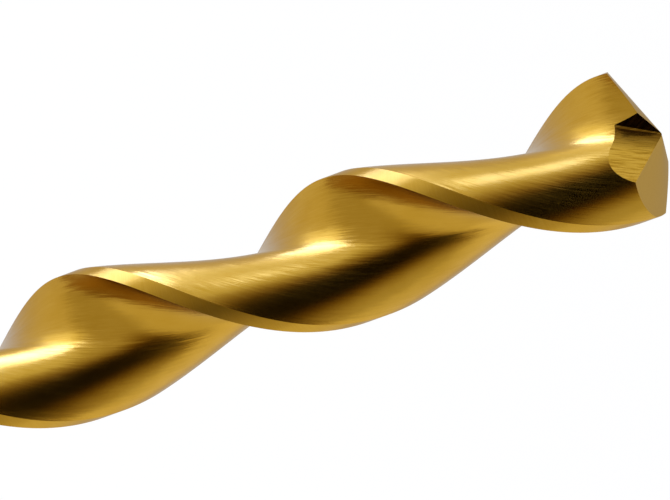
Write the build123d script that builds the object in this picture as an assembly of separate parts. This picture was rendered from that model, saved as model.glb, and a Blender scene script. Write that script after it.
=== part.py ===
"""Twist drill bit, jobber length, 10 mm, right-hand cut, with a fast helix and a split point.

One solid of hardened steel, made in the order in which a drill is ground: a round blank
with a chamfered shank, two helical flutes that run out at the shank, two relieved flanks,
and two gashes that split the point.

Frame: the origin is the centre of the shank's end face, +Z runs along the axis to the
point, and +X passes through the outer corner of one lip. Lengths are in millimetres and
angles in degrees.
"""
from build123d import *
import math
import os

# Blank: it tapers back from the cutting diameter at the lips to the shank
diameter = 10.0
shank_diameter = 9.95
overall_length = 133.0
shank_chamfer = 1.0

# Flutes: each is a hollow arc beside the cutting edge and a round heel behind it
flute_length = 87.0
helix_angle = 38.0
web_thickness = 3.66
flute_radius = 7.24
heel_radius = 3.45
margin_width = 0.89
flute_wheel_radius = 50.0

# Flanks: each is part of a cone whose tip is on the axis and whose own axis leans over
flank_cone_angle = 132.5
flank_lean = 10.9
flank_lean_bearing = 249.0
cone_tip_rise = 1.83

# Split point: each gash has an upright wall, which is the inner lip, and a sloping floor
gash_bearing = 31.5
gash_rake = 2.8
gash_floor_slope = 54.8
gash_floor_bearing = 56.3
chisel_width = 0.16
chisel_drop = 0.03

# How the cutters are drawn
cutter_overhang = 0.5
turn_step = 15.0
full_turn = 360.0

radius = diameter / 2
web_radius = web_thickness / 2
lead = math.pi * diameter / math.tan(math.radians(helix_angle))
margin_angle = math.degrees(margin_width / math.cos(math.radians(helix_angle)) / radius)
cone_tip_height = overall_length + chisel_drop
corner_height = cone_tip_height - cone_tip_rise
lift_bearing = (full_turn / 2 - margin_angle) / 2


def on_circle(centre, size, bearing):
    """Give the point of a circle at a bearing, in the plane across the axis."""
    angle = math.radians(bearing)
    return Vector(centre.X + size * math.cos(angle), centre.Y + size * math.sin(angle))


axis_point = Vector(0, 0)
lift_direction = on_circle(axis_point, 1, lift_bearing)
margin_back = on_circle(axis_point, radius, full_turn / 2 - margin_angle)


def bearing_of(vector):
    """Give the bearing of a vector, from 0 to a full turn."""
    return math.degrees(math.atan2(vector.Y, vector.X)) % full_turn


def circles_meet(centre_a, radius_a, centre_b, radius_b):
    """Give the point to the left of the line from A to B where two circles cross."""
    across = centre_b - centre_a
    span = across.length
    along = (radius_a**2 - radius_b**2 + span**2) / (2 * span)
    rise = math.sqrt(radius_a**2 - along**2)
    forward = across / span
    left = Vector(-forward.Y, forward.X)
    return centre_a + forward * along + left * rise


def hollow_centre():
    """Give the centre of the hollow arc, which meets the corner and leaves the web."""
    corner = Vector(radius, 0)
    return circles_meet(axis_point, flute_radius + web_radius, corner, flute_radius)


def heel_centre():
    """Give the centre of the heel arc, which touches the hollow arc."""
    reach = flute_radius + heel_radius
    return circles_meet(hollow_centre(), reach, margin_back, heel_radius)


def flute_outline():
    """Give the edges that bound one flute across the axis, from the lip's outer corner.

    The hollow arc starts at the corner and passes the axis at the web's half thickness.
    The heel arc touches it and ends at the back edge of the other margin. Both go on
    past the blank, where a wide arc closes the outline.
    """
    hollow = hollow_centre()
    heel = heel_centre()
    corner = Vector(radius, 0)
    touch = hollow + (heel - hollow).normalized() * flute_radius

    hollow_extra = math.degrees(cutter_overhang / flute_radius)
    start = bearing_of(corner - hollow) + hollow_extra
    stop = bearing_of(touch - hollow)
    hollow_arc = CenterArc(hollow, flute_radius, start, stop - start)
    heel_extra = math.degrees(cutter_overhang / heel_radius)
    start = bearing_of(touch - heel)
    stop = bearing_of(margin_back - heel) + heel_extra
    heel_arc = CenterArc(heel, heel_radius, start, stop - start)
    above = on_circle(axis_point, radius + web_radius, lift_bearing)
    closing = ThreePointArc(heel_arc @ 1, above, hollow_arc @ 0)
    return [hollow_arc, heel_arc, closing]


def clearing_lift(hollow):
    """Give how far out a section moves before its hollow arc only touches the blank."""
    toward = hollow.dot(lift_direction)
    touching = flute_radius + radius
    return math.sqrt(toward**2 - hollow.length**2 + touching**2) - toward


def rim_travel(lift):
    """Give how far along the flute the wheel's round rim goes while it lifts."""
    return math.sqrt(flute_wheel_radius**2 - (flute_wheel_radius - lift) ** 2)


def flute_sections():
    """Give the height and the lift of each section, from the point past the run-out."""
    slant = math.cos(math.radians(helix_angle))
    last_lift = clearing_lift(hollow_centre())
    run_out_top = overall_length - flute_length + rim_travel(last_lift) * slant
    step = lead * turn_step / full_turn
    height = overall_length + step
    lift = 0.0
    sections = []
    while lift < last_lift + cutter_overhang:
        travel = max(run_out_top - height, 0) / slant
        lift = flute_wheel_radius - math.sqrt(flute_wheel_radius**2 - travel**2)
        sections.append((height, lift))
        height -= step
    return sections


def flute_cutter():
    """Make the space of one flute: its outline, turned with height and lifted at the end."""
    outline = Face(Wire(flute_outline()))
    sections = []
    for height, lift in flute_sections():
        turn = (height - corner_height) * full_turn / lead
        lifted = Pos(*(lift_direction * lift)) * outline
        sections.append(Pos(0, 0, height) * Rot(0, 0, turn) * lifted)
    return loft(sections)


def point_cutter():
    """Make the space over one flank and in front of the other lip's split.

    Everything on one side of the gash wall goes, except what lies both inside the
    leaning cone of the flank and under the gash floor. The two floors meet in the
    chisel edge, a little below the cones' tips.
    """
    size = 2 * diameter
    lean = Rot(0, 0, flank_lean_bearing) * Rot(0, -flank_lean, 0)
    base = size * math.tan(math.radians(flank_cone_angle / 2))
    cone = lean * Cone(base, 0, size, align=(Align.CENTER, Align.CENTER, Align.MAX))
    below = Box(2 * size, 2 * size, 2 * size, align=(Align.CENTER, Align.CENTER, Align.MAX))
    floor = Rot(0, 0, gash_floor_bearing) * Rot(0, gash_floor_slope, 0) * below
    kept = (Pos(0, 0, cone_tip_height) * cone) & (Pos(0, 0, overall_length) * floor)
    beside = Box(size, size, size, align=(Align.CENTER, Align.MIN, Align.CENTER))
    wall = Rot(0, 0, gash_bearing) * Rot(-gash_rake, 0, 0) * Pos(0, -chisel_width / 2, 0)
    return Pos(0, 0, overall_length) * wall * beside - kept


def round_blank():
    """Turn the round bar: a chamfered shank, then a body that widens a little to the lips."""
    shank_radius = shank_diameter / 2
    flute_end = overall_length - flute_length
    widening = (radius - shank_radius) / (corner_height - flute_end)
    end_radius = radius + widening * (overall_length - corner_height)
    on_base = (Align.CENTER, Align.CENTER, Align.MIN)
    shank = Cylinder(shank_radius, flute_end, align=on_base)
    end_edge = shank.edges().group_by(Axis.Z)[0]
    shank = chamfer(end_edge, shank_chamfer)
    body = Cone(shank_radius, end_radius, flute_length, align=on_base)
    return shank + Pos(0, 0, flute_end) * body


def drill_bit():
    """Make the whole drill: the round blank, less two flutes and two point cuts."""
    half_turn = Rot(0, 0, full_turn / 2)
    flute = flute_cutter()
    point = point_cutter()
    return round_blank() - [flute, half_turn * flute, point, half_turn * point]


os.makedirs("parts", exist_ok=True)
export_step(drill_bit(), "parts/drill_bit.step")
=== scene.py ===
"""A twist drill bit of gold-coated steel, standing on its shank in a plain white studio."""
import math

import bmesh
import bpy
import numpy as np
from mathutils import Matrix, Vector


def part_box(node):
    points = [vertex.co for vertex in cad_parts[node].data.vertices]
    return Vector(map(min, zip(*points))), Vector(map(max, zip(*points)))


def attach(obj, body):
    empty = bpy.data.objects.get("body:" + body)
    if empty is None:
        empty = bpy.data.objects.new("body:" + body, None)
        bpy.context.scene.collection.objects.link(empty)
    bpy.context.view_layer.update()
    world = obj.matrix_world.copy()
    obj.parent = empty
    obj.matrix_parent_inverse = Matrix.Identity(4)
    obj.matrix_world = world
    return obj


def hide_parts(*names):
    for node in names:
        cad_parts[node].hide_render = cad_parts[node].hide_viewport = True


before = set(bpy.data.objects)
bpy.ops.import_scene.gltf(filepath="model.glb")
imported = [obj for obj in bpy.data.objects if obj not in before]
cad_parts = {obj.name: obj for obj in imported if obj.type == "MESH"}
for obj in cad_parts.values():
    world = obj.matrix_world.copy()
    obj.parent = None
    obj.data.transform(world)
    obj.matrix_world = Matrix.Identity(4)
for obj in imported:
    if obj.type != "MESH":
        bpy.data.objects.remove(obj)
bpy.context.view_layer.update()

# ---------------------------------------------------------------------------------------
# The drill body. One bar of high-speed steel, ground all over and then coated. A wheel
# cuts two helical flutes into the round blank and lifts off above the shank, and what
# is left between them are two thin lands.
# ---------------------------------------------------------------------------------------
MM = 0.001
FULL_TURN = 2 * math.pi

drill_low, drill_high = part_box("drill_bit")
drill_radius = (drill_high[1] - drill_low[1]) / 2 / MM
drill_length = (drill_high[2] - drill_low[2]) / MM
shank_radius = 4.975
shank_chamfer = 1.0
flute_length = 87.0
helix_angle = math.radians(38.0)
web_radius = 1.83
hollow_radius = 7.24
heel_radius = 3.45
land_width = 0.89
wheel_radius = 50.0
cone_tip_rise = 1.83
chisel_drop = 0.03

lead = FULL_TURN * drill_radius / math.tan(helix_angle)
land_angle = land_width / math.cos(helix_angle) / drill_radius
flute_end = drill_length - flute_length
cone_tip_height = drill_length + chisel_drop
corner_height = cone_tip_height - cone_tip_rise
lift_bearing = (math.pi - land_angle) / 2
lift_way = np.array([math.cos(lift_bearing), math.sin(lift_bearing)])

flute_steps = 64
land_steps = 40
run_out_height = 16.0
run_out_rows = 60
flute_rows = 180
seam = 0.05
spare_length = 1.0
weld_distance = 0.0005


def circles_cross(centre_a, radius_a, centre_b, radius_b):
    """Where two circles cross, to the left of the line from A to B, by the law of cosines."""
    across = centre_b - centre_a
    span = np.hypot(*across)
    along = (radius_a**2 - radius_b**2 + span**2) / (2 * span)
    left = np.array([-across[1], across[0]]) / span
    return centre_a + across / span * along + left * math.sqrt(radius_a**2 - along**2)


def arc_points(centre, radius, start, stop, count):
    """Points on a circle: the centre, plus the radius times the cosine and sine of even angles."""
    angle = np.linspace(start, stop, count)
    return centre + radius * np.stack([np.cos(angle), np.sin(angle)], axis=1)


def bearing(vector):
    """The angle of a vector from the x axis, from 0 to a full turn."""
    return math.atan2(vector[1], vector[0]) % FULL_TURN


axis_point = np.zeros(2)
lip_corner = np.array([drill_radius, 0.0])
land_back = drill_radius * np.array([-math.cos(land_angle), math.sin(land_angle)])
centres_apart = hollow_radius + heel_radius
hollow_centre = circles_cross(axis_point, hollow_radius + web_radius, lip_corner, hollow_radius)
heel_centre = circles_cross(hollow_centre, centres_apart, land_back, heel_radius)
touch = hollow_centre + (heel_centre - hollow_centre) * hollow_radius / centres_apart


def flute_profile(count=600, past=0.12):
    """The flute across the axis: a hollow arc from the lip's corner, then a heel arc.

    The two arcs touch. Each goes a small angle past the round blank, so that the lifted
    profile still reaches it.
    """
    hollow = arc_points(
        hollow_centre,
        hollow_radius,
        bearing(lip_corner - hollow_centre) + past,
        bearing(touch - hollow_centre),
        count,
    )
    heel = arc_points(
        heel_centre,
        heel_radius,
        bearing(touch - heel_centre),
        bearing(land_back - heel_centre) + past,
        count,
    )
    return np.concatenate([hollow, heel[1:]])


def cut_profile(profile, lift, radius, count):
    """The part of a lifted flute profile inside the blank, as points evenly spaced along it.

    The ends are where the profile's distance from the axis passes the blank's radius. A
    profile that has left the blank gives one point of the blank, repeated.
    """
    lifted = profile + lift_way * lift
    away = np.hypot(lifted[:, 0], lifted[:, 1]) - radius
    nearest = int(np.argmin(away))
    if away[nearest] >= 0:
        spot = lifted[nearest] / np.hypot(*lifted[nearest]) * radius
        return np.repeat(spot[None, :], count, axis=0)
    outside = np.flatnonzero(away >= 0)
    before = outside[outside < nearest].max()
    after = outside[outside > nearest].min()
    first = before + away[before] / (away[before] - away[before + 1])
    last = after - away[after] / (away[after] - away[after - 1])
    index = np.linspace(first, last, count)
    steps = np.arange(len(lifted))
    inside = np.stack([np.interp(index, steps, lifted[:, k]) for k in (0, 1)], axis=1)
    travel = np.concatenate([[0], np.cumsum(np.hypot(*np.diff(inside, axis=0).T))])
    even = np.linspace(0, travel[-1], count)
    return np.stack([np.interp(even, travel, inside[:, k]) for k in (0, 1)], axis=1)


def section_loop(profile, lift, radius, flute_count, land_count):
    """One closed loop across the axis: flute, land, the opposite flute and the opposite land."""
    flute = cut_profile(profile, lift, radius, flute_count)
    start = bearing(flute[-1])
    stop = bearing(flute[0]) + math.pi
    land = arc_points(axis_point, radius, start, stop, land_count)[1:-1]
    half = np.concatenate([flute, land])
    return np.concatenate([half, -half])


def flute_lift(height):
    """How far out the section is at a height: the drop of the wheel's round rim.

    Below the full flute, the lift is the wheel's radius less the root of its square minus
    the square of the way gone along the flute. It clears the bar at the flute's end.
    """
    toward = hollow_centre @ lift_way
    touching = hollow_radius + drill_radius
    clear = math.sqrt(toward**2 - hollow_centre @ hollow_centre + touching**2) - toward
    reach = math.sqrt(wheel_radius**2 - (wheel_radius - clear) ** 2)
    top = flute_end + reach * math.cos(helix_angle)
    travel = max(top - height, 0.0) / math.cos(helix_angle)
    return wheel_radius - math.sqrt(wheel_radius**2 - travel**2)


def bar_radius(height):
    """The blank's radius: even along the shank, then widening evenly to the lips' corners."""
    share = (height - flute_end) / (corner_height - flute_end)
    return shank_radius + (drill_radius - shank_radius) * min(max(share, 0.0), 1.0)


def drill_tube():
    """Vertices of the bar with its flutes, row by row from the shank's end to past the point.

    Each row is the section loop turned by a full turn in each lead of height, and cut off
    at the blank's own radius there. In the lowest row it shrinks by the chamfer. The rows
    are closest where the run-out starts, by the square of an even range.
    """
    profile = flute_profile()
    run_out = flute_end + np.linspace(0.0, 1.0, run_out_rows) ** 2 * run_out_height
    full = np.linspace(flute_end + run_out_height, drill_length + spare_length, flute_rows)[1:]
    heights = np.concatenate([[0.0, shank_chamfer, flute_end - seam], run_out, full])
    rows = []
    for height in heights:
        cut_height = max(height, flute_end - seam)
        radius = bar_radius(height)
        loop = section_loop(profile, flute_lift(cut_height), radius, flute_steps, land_steps)
        size = (radius - max(shank_chamfer - height, 0.0)) / radius
        turn = FULL_TURN * (cut_height - corner_height) / lead
        cosine, sine = math.cos(turn), math.sin(turn)
        x = loop[:, 0] * cosine - loop[:, 1] * sine
        y = loop[:, 0] * sine + loop[:, 1] * cosine
        rows.append(np.stack([x * size, y * size, np.full(len(x), height)], axis=1))
    return np.array(rows)


def tube_mesh(name, rows):
    """A closed mesh from rows of points: quads between rows, and one face at each end."""
    count, around = rows.shape[:2]
    index = np.arange(count * around).reshape(count, around)
    after = np.roll(index, -1, axis=1)
    quads = np.stack([index[:-1], after[:-1], after[1:], index[1:]], axis=-1).reshape(-1, 4)
    faces = quads.tolist() + [index[0][::-1].tolist(), index[-1].tolist()]
    mesh = bpy.data.meshes.new(name)
    mesh.from_pydata((rows.reshape(-1, 3) * MM).tolist(), [], faces)
    return mesh


def new_piece(name, mesh):
    """An object at the origin that shows the mesh."""
    piece = bpy.data.objects.new(name, mesh)
    bpy.context.scene.collection.objects.link(piece)
    return piece


gold = (0.56, 0.325, 0.040, 1.0)
deep_gold = (0.45, 0.24, 0.017, 1.0)
edge_brightness = (0.72, 0.72, 0.72, 1.0)
turn_per_mm = FULL_TURN / lead


class Wiring:
    """Adds nodes to one material. Each call gives the socket that the next call reads."""

    def __init__(self, name):
        self.material = bpy.data.materials.new(name)
        self.material.use_nodes = True
        self.tree = self.material.node_tree
        self.shader = self.tree.nodes["Principled BSDF"]
        place = self.add("ShaderNodeTexCoord")
        self.place = self.vector("SCALE", place.outputs["Object"], scale=1 / MM)
        self.facing = self.add("ShaderNodeNewGeometry").outputs["Normal"]

    def add(self, kind, **settings):
        """A new node of a kind, with its settings."""
        node = self.tree.nodes.new(kind)
        for key, value in settings.items():
            setattr(node, key, value)
        return node

    def feed(self, socket, value):
        """Link a socket to another one, or set it to a plain value."""
        if isinstance(value, bpy.types.NodeSocket):
            self.tree.links.new(value, socket)
        else:
            socket.default_value = value

    def math(self, operation, a, b=0.0, c=0.0):
        """One step of arithmetic on numbers."""
        node = self.add("ShaderNodeMath", operation=operation)
        for socket, value in zip(node.inputs, (a, b, c)):
            self.feed(socket, value)
        return node.outputs[0]

    def vector(self, operation, a, b=(0.0, 0.0, 0.0), scale=1.0):
        """One step of arithmetic on vectors. A dot product gives a number."""
        node = self.add("ShaderNodeVectorMath", operation=operation)
        self.feed(node.inputs[0], a)
        self.feed(node.inputs[1], b)
        self.feed(node.inputs[3], scale)
        return node.outputs["Value" if operation == "DOT_PRODUCT" else "Vector"]

    def part(self, vector, axis):
        """A vector's length along X, Y or Z."""
        node = self.add("ShaderNodeSeparateXYZ")
        self.feed(node.inputs[0], vector)
        return node.outputs[axis]

    def join(self, x, y, z):
        """A vector from its three lengths."""
        node = self.add("ShaderNodeCombineXYZ")
        for socket, value in zip(node.inputs, (x, y, z)):
            self.feed(socket, value)
        return node.outputs[0]

    def noise(self, place, stretch, detail=2.0, rough=0.55):
        """Cloudy noise from 0 to 1 whose grain is stretched by a scale along each axis."""
        node = self.add("ShaderNodeTexNoise")
        self.feed(node.inputs["Vector"], self.vector("MULTIPLY", place, stretch))
        node.inputs["Scale"].default_value = 1.0
        node.inputs["Detail"].default_value = detail
        node.inputs["Roughness"].default_value = rough
        return node.outputs["Fac"]

    def between(self, value, low, high):
        """A straight line from low, where the value is 0, to high, where it is 1."""
        return self.math("MULTIPLY_ADD", value, high - low, low)

    def blend(self, share, first, second, kind="RGBA"):
        """A colour or a vector from the first, where the share is 0, to the second, at 1."""
        node = self.add("ShaderNodeMix", data_type=kind)
        self.feed(node.inputs["Factor"], share)
        self.feed(node.inputs["A"], first)
        self.feed(node.inputs["B"], second)
        return node.outputs["Result"]

    def lines(self, way, tilt, lean=(0.0, 0.0, 0.0)):
        """Tilt the surface across its grinding lines, and stretch its shine across them too.

        The way across is the surface's normal crossed with the way along the lines. The
        lean tilts the whole face by one more vector.
        """
        across = self.vector("NORMALIZE", self.vector("CROSS_PRODUCT", self.facing, way))
        lean = self.vector("ADD", self.vector("SCALE", across, scale=tilt), lean)
        tilted = self.vector("NORMALIZE", self.vector("ADD", self.facing, lean))
        self.feed(self.shader.inputs["Normal"], tilted)
        self.feed(self.shader.inputs["Tangent"], across)

    def coating(self, colour, roughness, stretch):
        """The coating's metal. The stretch draws its shine out across the lines."""
        self.feed(self.shader.inputs["Base Color"], colour)
        self.feed(self.shader.inputs["Roughness"], roughness)
        self.shader.inputs["Metallic"].default_value = 1.0
        self.shader.inputs["Anisotropic"].default_value = stretch
        self.shader.inputs["Specular Tint"].default_value = edge_brightness
        return self.material

    def surface(self, look):
        """Show another shader's look in place of the metal's."""
        self.feed(self.tree.nodes["Material Output"].inputs["Surface"], look)
        return self.material


def flute_finish():
    """Lines along the flutes.

    The place is turned back by the helix, so that it stays the same all along one line,
    and noise on it is drawn out into lines. The way along a line is the turn for each
    millimetre, crossed with the place, plus a step up the axis.
    """
    coat = Wiring("coat_on_flutes")
    turn = coat.math("MULTIPLY", coat.part(coat.place, "Z"), -turn_per_mm)
    straight = coat.add("ShaderNodeVectorRotate", rotation_type="Z_AXIS")
    coat.feed(straight.inputs["Vector"], coat.place)
    coat.feed(straight.inputs["Angle"], turn)
    straight = straight.outputs["Vector"]
    fine = coat.noise(straight, (14.0, 14.0, 0.5), 3.0, 0.65)
    wide = coat.noise(straight, (2.6, 2.6, 0.08), 2.0)
    cloud = coat.noise(coat.place, (0.35, 0.35, 0.35), 3.0)
    around = coat.vector("CROSS_PRODUCT", (0.0, 0.0, turn_per_mm), coat.place)
    way = coat.vector("ADD", around, (0.0, 0.0, 1.0))
    tilt = coat.math("ADD", coat.between(fine, -0.21, 0.21), coat.between(wide, -0.05, 0.05))
    coat.lines(way, tilt)
    shade = coat.math("ADD", coat.between(fine, -0.3, 0.7), coat.between(cloud, -0.25, 0.75))
    colour = coat.blend(shade, deep_gold, gold)
    return coat.coating(colour, coat.between(fine, 0.16, 0.30), 0.55)


def round_finish():
    """Lines round the bar. Noise changes fast along the axis and slowly round it.

    The lean turns all of its shine a little toward the point.
    """
    coat = Wiring("coat_on_round")
    fine = coat.noise(coat.place, (0.5, 0.5, 14.0), 2.0, 0.6)
    cloud = coat.noise(coat.place, (0.35, 0.35, 0.35), 3.0)
    way = coat.vector("CROSS_PRODUCT", (0.0, 0.0, 1.0), coat.place)
    coat.lines(way, coat.between(fine, -0.12, 0.12), (0.0, 0.0, 0.17))
    shade = coat.math("ADD", coat.between(fine, -0.3, 0.7), coat.between(cloud, -0.25, 0.75))
    colour = coat.blend(shade, deep_gold, gold)
    return coat.coating(colour, coat.between(fine, 0.25, 0.35), 0.85)


body_rows = drill_tube()
body_mesh = tube_mesh("drill_body", body_rows)
body_mesh.materials.append(flute_finish())
body_mesh.materials.append(round_finish())
step = np.arange(body_rows.shape[1]) % (flute_steps + land_steps - 2)
is_round = np.tile(step >= flute_steps - 1, len(body_rows) - 1)
is_round = np.concatenate([is_round, [True, True]])
body_mesh.polygons.foreach_set("material_index", is_round.astype(np.int32))
welded = bmesh.new()
welded.from_mesh(body_mesh)
bmesh.ops.remove_doubles(welded, verts=welded.verts, dist=weld_distance * MM)
welded.to_mesh(body_mesh)
welded.free()
drill = new_piece("drill", body_mesh)

# ---------------------------------------------------------------------------------------
# The point. Two flanks are ground as parts of leaning cones, and then two gashes split
# the point: each leaves an upright wall, which is the inner lip, and a sloping floor.
# ---------------------------------------------------------------------------------------
flank_cone_half = math.radians(132.5 / 2)
flank_lean = math.radians(10.9)
flank_lean_bearing = math.radians(69.0)
gash_bearing = math.radians(31.5)
gash_rake = math.radians(2.8)
gash_floor_slope = math.radians(54.8)
gash_floor_bearing = math.radians(56.3)
gash_line_turn = math.radians(-12)
chisel_width = 0.16
grinding_reach = 9.0
flank_overlap = 0.12
flank_sweep = math.pi + 0.1
flank_roof = 3.0
flank_rings = 40
flank_spokes = 121
pale_gold = (0.50, 0.36, 0.16, 1.0)
# The near-black brown of the painted shade on the gash walls and in the corners under them.
corner_shade_gold = (0.11, 0.048, 0.004, 1.0)


def flank_cutter(name):
    """A block above one flank: the leaning cone's height over a half disc, and a flat roof.

    The height over each spot is the root of the cone's equation, in which the cosine
    of the angle between the spot and the cone's own axis is the cosine of its half angle.
    Of the two roots, the one in front of the cone's tip counts.
    """
    radius = np.linspace(0.0, grinding_reach, flank_rings)[None, :]
    start = flank_lean_bearing + math.pi - flank_overlap
    angle = np.linspace(start, start + flank_sweep, flank_spokes)[:, None]
    x, y = radius * np.cos(angle), radius * np.sin(angle)
    down = np.array(
        [
            math.sin(flank_lean) * math.cos(flank_lean_bearing),
            math.sin(flank_lean) * math.sin(flank_lean_bearing),
            -math.cos(flank_lean),
        ]
    )
    flat = x * down[0] + y * down[1]
    share = math.cos(flank_cone_half) ** 2
    a = down[2] ** 2 - share
    b = flat * down[2]
    c = flat**2 - share * radius**2
    root = np.sqrt(np.maximum(b**2 - a * c, 0.0))
    drop = (-b - root) / a
    drop = np.where(drop * down[2] + flat < 0, (-b + root) / a, drop)
    low = np.stack([x, y, cone_tip_height + drop], axis=-1)
    high = low.copy()
    high[..., 2] = cone_tip_height + flank_roof
    rows, around = low.shape[:2]
    index = np.arange(rows * around).reshape(rows, around)
    roof = index + rows * around
    sheet = np.stack([index[:-1, :-1], index[:-1, 1:], index[1:, 1:], index[1:, :-1]], axis=-1)
    cover = np.stack([roof[:-1, :-1], roof[1:, :-1], roof[1:, 1:], roof[:-1, 1:]], axis=-1)
    faces = sheet.reshape(-1, 4).tolist() + cover.reshape(-1, 4).tolist()
    first_edge, round_edge, last_edge = np.s_[0], np.s_[:, -1], np.s_[-1, ::-1]
    for edge in (first_edge, round_edge, last_edge):
        bottom, top = index[edge], roof[edge]
        faces += np.stack([bottom[:-1], top[:-1], top[1:], bottom[1:]], axis=-1).tolist()
    mesh = bpy.data.meshes.new(name)
    points = np.concatenate([low.reshape(-1, 3), high.reshape(-1, 3)])
    mesh.from_pydata((points * MM).tolist(), [], faces)
    mesh.materials.append(flank_finish())
    closed = bmesh.new()
    closed.from_mesh(mesh)
    bmesh.ops.remove_doubles(closed, verts=closed.verts, dist=weld_distance * MM)
    bmesh.ops.recalc_face_normals(closed, faces=closed.faces)
    closed.to_mesh(mesh)
    closed.free()
    return mesh


def gash_floor_turn():
    """The turn that takes a level plane to the gash's floor: over by its slope, then round."""
    round_axis = Matrix.Rotation(gash_floor_bearing, 3, "Z")
    return round_axis @ Matrix.Rotation(gash_floor_slope, 3, "Y")


def gash_cutter(name):
    """A wedge in front of one inner lip, between its upright wall and its sloping floor."""
    wall_turn = Matrix.Rotation(gash_bearing, 3, "Z") @ Matrix.Rotation(-gash_rake, 3, "X")
    floor_turn = gash_floor_turn()
    tip = Vector((0, 0, drill_length))
    wall_normal = wall_turn @ Vector((0, 1, 0))
    floor_normal = floor_turn @ Vector((0, 0, 1))
    wall_spot = tip - wall_normal * chisel_width / 2
    wedge = bmesh.new()
    bmesh.ops.create_cube(wedge, size=2 * grinding_reach)
    bmesh.ops.translate(wedge, verts=wedge.verts, vec=tip)
    for spot, normal in ((wall_spot, wall_normal), (tip, floor_normal)):
        cut = bmesh.ops.bisect_plane(
            wedge,
            geom=wedge.verts[:] + wedge.edges[:] + wedge.faces[:],
            plane_co=spot,
            plane_no=-normal,
            clear_outer=True,
        )
        rim = [e for e in cut["geom_cut"] if isinstance(e, bmesh.types.BMEdge)]
        bmesh.ops.contextual_create(wedge, geom=rim)
    bmesh.ops.scale(wedge, verts=wedge.verts, vec=(MM, MM, MM))
    bmesh.ops.recalc_face_normals(wedge, faces=wedge.faces)
    mesh = bpy.data.meshes.new(name)
    wedge.to_mesh(mesh)
    wedge.free()
    mesh.materials.append(gash_finish())
    return mesh


def flank_finish():
    """A plain satin face, paler than the rest.

    Fine noise without a direction moves the shade and the roughness.
    """
    coat = Wiring("coat_on_flanks")
    fine = coat.noise(coat.place, (9.0, 9.0, 9.0), 3.0, 0.6)
    way = coat.vector("CROSS_PRODUCT", (0.0, 0.0, 1.0), coat.place)
    coat.lines(way, coat.between(fine, -0.03, 0.03))
    colour = coat.blend(coat.between(fine, 0.2, 1.2), deep_gold, gold)
    colour = coat.blend(0.35, colour, pale_gold)
    return coat.coating(colour, coat.between(fine, 0.34, 0.42), 0.2)


def gash_finish():
    """Lines up the gash, and painted shade on its wall and in the corner under it.

    On the drill's other side x and y change sign, as its twin is half a turn round. The
    place is measured over and along the lines, so that noise on it is drawn out along
    them. A face that rises less than 0.3 is the wall. The floor is dished toward it, and
    the wall leans back. Both leans are vectors that go with the twin. The painted shade, a
    dark brown, fades with the depth, the distance from the wall, and the lines break it up.
    """
    coat = Wiring("coat_on_gashes")
    across_wall = (-math.sin(gash_bearing), math.cos(gash_bearing), 0.0)
    from_wall = coat.vector("DOT_PRODUCT", coat.place, across_wall)
    side = coat.math("SIGN", from_wall)
    twin = coat.join(side, side, 1.0)
    own = coat.vector("MULTIPLY", coat.place, twin)
    line_turn = gash_floor_turn() @ Matrix.Rotation(gash_line_turn, 3, "Z")
    along = tuple(line_turn @ Vector((-1, 0, 0)))
    over = tuple(line_turn @ Vector((0, 1, 0)))
    place_over = coat.vector("DOT_PRODUCT", own, over)
    place_along = coat.vector("DOT_PRODUCT", own, along)
    fine = coat.noise(coat.join(place_over, place_along, 0.0), (9.0, 0.5, 1.0), 2.0, 0.6)

    on_wall = coat.math("LESS_THAN", coat.part(coat.facing, "Z"), 0.3)
    depth = coat.math("ABSOLUTE", from_wall)
    dish = coat.math("MINIMUM", coat.between(depth, -0.20, -0.08), 0.0)
    floor_lean = coat.vector("SCALE", across_wall, scale=dish)
    wall_lean = (-0.52, -0.07, 0.17)
    lean = coat.blend(on_wall, floor_lean, wall_lean, "VECTOR")
    calm = coat.between(on_wall, 1.0, 0.2)
    tilt = coat.math("MULTIPLY", coat.between(fine, -0.36, 0.36), calm)
    way = coat.vector("MULTIPLY", along, twin)
    coat.lines(way, tilt, coat.vector("MULTIPLY", lean, twin))

    # Painted shade: on the wall and near it the colour goes toward a near-black brown.
    painted_corner_shade = coat.math("ADD", coat.between(depth, 1.25, 0.45), coat.between(fine, 0.55, -0.65))
    painted_corner_shade = coat.math("MAXIMUM", painted_corner_shade, on_wall)
    painted_corner_shade = coat.math("MULTIPLY", painted_corner_shade, coat.between(on_wall, 0.85, 0.9))
    colour = coat.blend(coat.between(fine, -1.3, 2.4), deep_gold, gold)
    colour = coat.blend(painted_corner_shade, colour, corner_shade_gold)
    return coat.coating(colour, coat.between(fine, 0.14, 0.24), 0.6)


def grind(piece, *cutter_meshes):
    """Cut a piece with each cutter and with its twin, half a turn round."""
    cutters = []
    for cutter_mesh in cutter_meshes:
        for turn in (0.0, math.pi):
            turned = cutter_mesh.copy()
            turned.transform(Matrix.Rotation(turn, 4, "Z"))
            cutters.append(new_piece(cutter_mesh.name, turned))
            cut = piece.modifiers.new("grind", "BOOLEAN")
            cut.operation = "DIFFERENCE"
            cut.solver = "EXACT"
            cut.object = cutters[-1]
            cut.material_mode = "TRANSFER"
    bpy.context.view_layer.update()
    shown = bpy.context.evaluated_depsgraph_get()
    ground = bpy.data.meshes.new_from_object(piece.evaluated_get(shown))
    piece.modifiers.clear()
    piece.data = ground
    for cutter in cutters:
        bpy.data.objects.remove(cutter)


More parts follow.
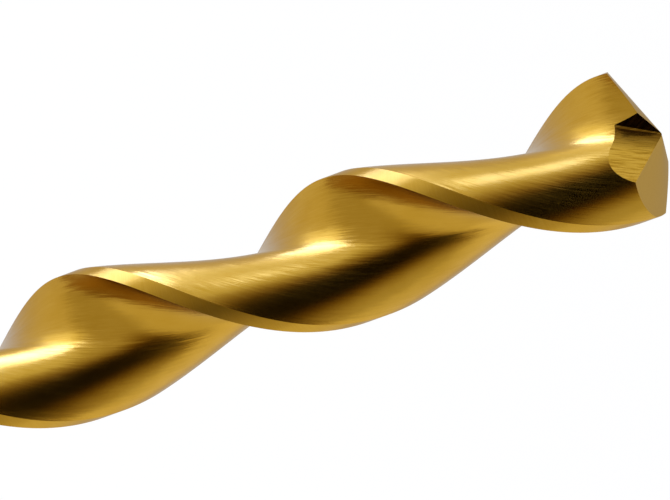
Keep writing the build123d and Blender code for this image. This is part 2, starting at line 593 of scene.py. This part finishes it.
def sharpen(mesh, least_angle):
    """Shade a mesh smoothly, but for its sharp edges and the edges between two finishes.

    An edge lies between two where the least and the greatest finish of its faces differ.
    """
    mesh.polygons.foreach_set("use_smooth", np.ones(len(mesh.polygons), dtype=bool))
    mesh.set_sharp_from_angle(angle=least_angle)
    face_corners = np.zeros(len(mesh.polygons), dtype=np.int32)
    face_finish = np.zeros(len(mesh.polygons), dtype=np.int32)
    corner_edge = np.zeros(len(mesh.loops), dtype=np.int32)
    mesh.polygons.foreach_get("loop_total", face_corners)
    mesh.polygons.foreach_get("material_index", face_finish)
    mesh.loops.foreach_get("edge_index", corner_edge)
    corner_finish = np.repeat(face_finish, face_corners)
    least = np.full(len(mesh.edges), len(mesh.materials))
    greatest = np.zeros(len(mesh.edges), dtype=int)
    np.minimum.at(least, corner_edge, corner_finish)
    np.maximum.at(greatest, corner_edge, corner_finish)
    sharp = np.zeros(len(mesh.edges), dtype=bool)
    edge_layer = mesh.attributes["sharp_edge"].data
    edge_layer.foreach_get("value", sharp)
    edge_layer.foreach_set("value", sharp | (least != greatest))


grind(drill, flank_cutter("flank_wheel"), gash_cutter("gash_wheel"))
sharpen(drill.data, least_angle=math.radians(28))

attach(drill, "root")
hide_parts("drill_bit")

# ---------------------------------------------------------------------------------------
# The studio. A white paper floor under an even white surround, soft lamps at the drill's
# side, one behind it, and a dark curtain in front that gives the polished curves their
# dark bands. All of them face the middle of the flutes.
# ---------------------------------------------------------------------------------------
aim_height = 0.11
floor_size = 6.0
white = (1.0, 1.0, 1.0, 1.0)
# The darker, warm colour of the painted shade that reflections see on the floor's front.
front_shade_colour = (0.64, 0.60, 0.47, 1.0)
paper_grey = (0.9, 0.9, 0.9, 1.0)
front_bearing = math.radians(66)
front = (math.cos(front_bearing), math.sin(front_bearing), 0.0)

world = bpy.data.worlds.new("studio")
bpy.context.scene.world = world
world.use_nodes = True
surround = world.node_tree.nodes["Background"]
surround.inputs["Color"].default_value = white
surround.inputs["Strength"].default_value = 0.75


def paper_finish():
    """White paper, which the camera and reflections see as a white background with a shadow.

    For them, and through glass, a glow is mixed 0.85 to 0.15 with plain paper, and the
    two together come to white. In reflections only, the glow is darker and warm round the
    front, a painted shade of the floor there: its share is the cosine of the angle from
    there, times 4, less 2.4, and held between 0 and 1.
    """
    paper = Wiring("paper")
    seen = paper.add("ShaderNodeLightPath").outputs
    toward_front = paper.vector("DOT_PRODUCT", paper.vector("NORMALIZE", paper.place), front)
    # Painted shade: reflections see the floor darker and warmer round the drill's front.
    painted_front_shade = paper.math("MULTIPLY_ADD", toward_front, 4.0, -2.4)
    painted_front_shade = paper.math("MINIMUM", paper.math("MAXIMUM", painted_front_shade, 0.0), 1.0)
    painted_front_shade = paper.math("MULTIPLY", painted_front_shade, seen["Is Glossy Ray"])
    glow = paper.add("ShaderNodeEmission")
    glow.inputs["Strength"].default_value = 1.05
    paper.feed(glow.inputs["Color"], paper.blend(painted_front_shade, white, front_shade_colour))
    paper.shader.inputs["Base Color"].default_value = paper_grey

    plainly = paper.math("MAXIMUM", seen["Is Glossy Ray"], seen["Is Transmission Ray"])
    plainly = paper.math("MAXIMUM", plainly, seen["Is Camera Ray"])
    both = paper.add("ShaderNodeMixShader")
    paper.feed(both.inputs[0], paper.math("MULTIPLY", plainly, 0.85))
    paper.feed(both.inputs[1], paper.shader.outputs[0])
    paper.feed(both.inputs[2], glow.outputs[0])
    return paper.surface(both.outputs[0])


bpy.ops.mesh.primitive_plane_add(size=floor_size, location=(0, 0, 0))
floor = bpy.context.object
floor.name = "floor"
floor.data.materials.append(paper_finish())


def curtain_finish(name):
    """Thin dark cloth that lets through what its cover leaves, and green and blue least.

    The share let through is 1 less the cover, to the power of 1 for red, 1.35 for green
    and 2.3 for blue.
    """
    cloth = Wiring(name)
    cover = cloth.add("ShaderNodeAttribute", attribute_name="cover")
    open_share = cloth.math("SUBTRACT", 1.0, cover.outputs["Fac"])
    let_through = cloth.add("ShaderNodeCombineColor")
    for channel, power in zip(let_through.inputs, (1.0, 1.35, 2.3)):
        cloth.feed(channel, cloth.math("POWER", open_share, power))
    clear = cloth.add("ShaderNodeBsdfTransparent")
    cloth.feed(clear.inputs["Color"], let_through.outputs[0])
    return cloth.surface(clear.outputs[0])


def curtain(name, far, foot):
    """A dark curtain round the drill's front that is seen only in reflections.

    It lies on the floor from near the drill and then rises, far away. Its rows are even
    in the rise, the angle in degrees at which the flutes see them. The distance is the
    foot's depth over the tangent of the dip, or the far distance if that is less.

    The cover grows over 45 degrees of bearing from the left side and falls over 48 to the
    right one, both eased by 3 squares less 2 cubes. Both sides lean with the rise, and
    the right one has a bulge just under level. The cover also grows from a rise of -25
    over 21 degrees, and falls over the last 6 below 35.
    """
    across = np.linspace(0.0, 178.0, 121)[None, :]
    rise = np.linspace(-23.0, 35.0, 81)[:, None]
    dip = np.radians(np.maximum(-rise, 1.0))
    distance = np.minimum(far, foot / np.tan(dip))
    height = aim_height + distance * np.tan(np.radians(rise)) + 0 * across
    turn = np.radians(across)
    grid = np.stack([distance * np.cos(turn), distance * np.sin(turn), height], axis=-1)
    rows, around = grid.shape[:2]
    index = np.arange(rows * around).reshape(rows, around)
    quads = np.stack([index[:-1, :-1], index[:-1, 1:], index[1:, 1:], index[1:, :-1]], axis=-1)
    mesh = bpy.data.meshes.new(name)
    mesh.from_pydata(grid.reshape(-1, 3).tolist(), [], quads.reshape(-1, 4).tolist())

    left = 33 - 2.2 * np.clip(rise - 4, 0, 12) - 3.5 * np.clip(rise - 4, -6, 0)
    bulge = 22 * np.exp(-(((rise + 2.5) / 4.5) ** 2))
    right = 164 - 1.6 * np.clip(rise - 1, 0, 12) + bulge + 2.0 * np.minimum(rise + 2.5, 0)
    sides = np.clip((across - left) / 45, 0, 1) * np.clip((right - across) / 48, 0, 1)
    sides = sides * sides * (3 - 2 * sides)
    cover = sides * np.clip((rise + 25) / 21, 0, 1) * np.clip((35 - rise) / 6, 0, 1)
    layer = mesh.attributes.new("cover", "FLOAT", "POINT")
    layer.data.foreach_set("value", cover.reshape(-1).astype(np.float32))
    mesh.materials.append(curtain_finish(name))
    piece = new_piece(name, mesh)
    piece.visible_camera = False
    piece.visible_diffuse = False
    piece.visible_shadow = False


curtain("dark_curtain", far=0.60, foot=0.106)


def softbox(name, bearing, rise, distance, width, tall, strength, tint, roll=0.0):
    """An oval lamp that faces the flutes from a bearing and an angle of rise, in degrees.

    Its energy is the strength times the width, the height and pi, so that it is equally
    bright at any size. The roll turns the oval about its own middle.
    """
    lamp = bpy.data.lights.new(name, "AREA")
    lamp.shape = "ELLIPSE"
    lamp.size = width
    lamp.size_y = tall
    lamp.energy = strength * width * tall * math.pi
    lamp.color = tint
    turn, lift = math.radians(bearing), math.radians(rise)
    level = math.cos(lift)
    way = Vector((math.cos(turn) * level, math.sin(turn) * level, math.sin(lift)))
    box = bpy.data.objects.new(name, lamp)
    box.location = Vector((0, 0, aim_height)) + way * distance
    rolled = Matrix.Rotation(math.radians(roll), 3, "Z")
    box.rotation_euler = ((-way).to_track_quat("-Z", "Y").to_matrix() @ rolled).to_euler()
    box.visible_camera = False
    bpy.context.scene.collection.objects.link(box)


# The narrow key and the streak draw the two bright lines along the flutes. The low and
# the lower lamp let the key's line fade downward, and the others fill in round them.
key_light = (0.72, 1.07, 4.9)
streak_light = (0.72, 1.05, 4.6)
low_light = (0.76, 1.0, 2.8)
paper_light = (0.80, 1.0, 1.7)
back_light = (0.86, 1.0, 1.65)
softbox("key_softbox", -12, -8.5, 0.30, 0.28, 0.036, 5.7, key_light, 4)
softbox("low_softbox", -15, -16, 0.32, 0.24, 0.10, 0.85, low_light)
softbox("lower_softbox", -7, -26, 0.22, 0.19, 0.16, 0.6, paper_light)
softbox("wide_softbox", 0, 2, 0.40, 0.72, 0.16, 0.40, paper_light)
softbox("streak_softbox", -1, 9.5, 0.34, 0.18, 0.036, 2.3, streak_light)
softbox("top_softbox", 22, 36, 0.42, 0.30, 0.20, 0.66, paper_light)
softbox("fill_softbox", 188, -6, 0.40, 0.40, 0.30, 0.25, back_light)

# ---------------------------------------------------------------------------------------
# The camera. It stands before the fluted end, above it, and looks down on it through a
# long lens, with the drill's axis rising to the right across the frame.
# ---------------------------------------------------------------------------------------
camera_place = Vector((62.23, 336.56, 96.29 + corner_height)) * MM
look_bearing = math.radians(-100.434)
look_dip = math.radians(-19.062)
axis_slope = math.radians(20.175)
look = Vector(
    (
        math.cos(look_bearing) * math.cos(look_dip),
        math.sin(look_bearing) * math.cos(look_dip),
        math.sin(look_dip),
    )
)
along = (Vector((0, 0, 1)) - look * look.z).normalized()
side = (-look).cross(along)
right = along * math.cos(axis_slope) - side * math.sin(axis_slope)
up = along * math.sin(axis_slope) + side * math.cos(axis_slope)
lens = bpy.data.cameras.new("camera")
lens.sensor_width = 36.0
lens.lens = 293.7
lens.clip_start = 0.01
camera = bpy.data.objects.new("camera", lens)
stance = Matrix((right, up, -look)).transposed().to_4x4()
camera.matrix_world = Matrix.Translation(camera_place) @ stance
bpy.context.scene.collection.objects.link(camera)
bpy.context.scene.camera = camera
bpy.context.scene.view_settings.view_transform = "Standard"
